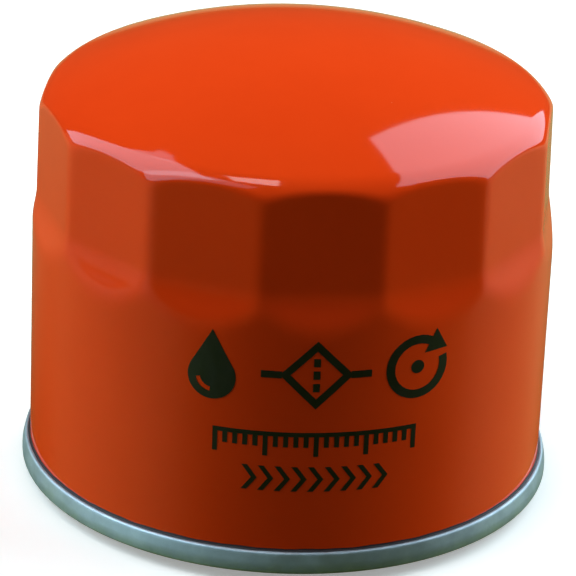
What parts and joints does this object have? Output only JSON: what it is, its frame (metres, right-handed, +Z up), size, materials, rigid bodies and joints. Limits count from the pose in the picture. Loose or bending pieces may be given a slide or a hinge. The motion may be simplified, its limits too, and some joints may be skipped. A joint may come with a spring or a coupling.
{
  "type": "spin-on oil filter",
  "caption": "Short spin-on oil filter: glossy domed can with wrench flats, rolled steel rim, gasket and threaded base plate, with its element and valves inside.",
  "frame": {"origin": "centre of the gasket's sealing face, at the bottom of the part", "axes": "+Z up the filter's axis towards the closed dome; -Y faces the printed front, through the middle of one wrench flat"},
  "size_m": [0.07, 0.07, 0.0604],
  "materials": {
    "orange_paint": "high-gloss baked enamel",
    "zinc_plate": "dull zinc-plated sheet",
    "lining_compound": "cured sealing compound",
    "plate_steel": "bright pressed steel with a light oil film",
    "nitrile": "moulded nitrile, slightly oily",
    "valve_rubber": "moulded rubber, matt",
    "tinplate": "thin stamped tinplate",
    "plastisol": "cured adhesive",
    "filter_paper": "resin-treated pleated paper",
    "spring_steel": "blued spring steel",
    "print_ink": "black screen-printing ink"
  },
  "bodies": {
    "filter_body": {"can": "orange_paint", "seaming_lid": "zinc_plate", "seam_sealant": "lining_compound", "base_plate": "plate_steel", "mounting_gasket": "nitrile", "anti_drain_collar": "valve_rubber", "lower_end_cap": "tinplate", "lower_potting": "plastisol", "filter_media": "filter_paper", "media_seam_clip": "tinplate", "centre_tube": "tinplate", "upper_potting": "plastisol", "upper_end_cap": "tinplate", "bypass_seat": "tinplate", "bypass_spring": "spring_steel", "bypass_cage": "tinplate", "hold_down_spring": "spring_steel"},
    "bypass_valve": {"bypass_disc": "tinplate", "bypass_seal": "valve_rubber"},
    "drain_back_lip": {"anti_drain_lip": "valve_rubber"}
  },
  "joints": [
    {"name": "bypass_open", "type": "slide", "parent": "filter_body", "child": "bypass_valve", "axis": [0, 0, -1], "range_m": [0, 0.0025], "stiffness_N_per_m": 2000, "springref_m": -0.0042, "deforming": ["bypass_spring"]},
    {"name": "drain_lip_open", "type": "slide", "parent": "filter_body", "child": "drain_back_lip", "axis": [0, 0, 1], "range_m": [0, 0.0012], "stiffness_N_per_m": 300, "springref_m": -0.001}
  ]
}
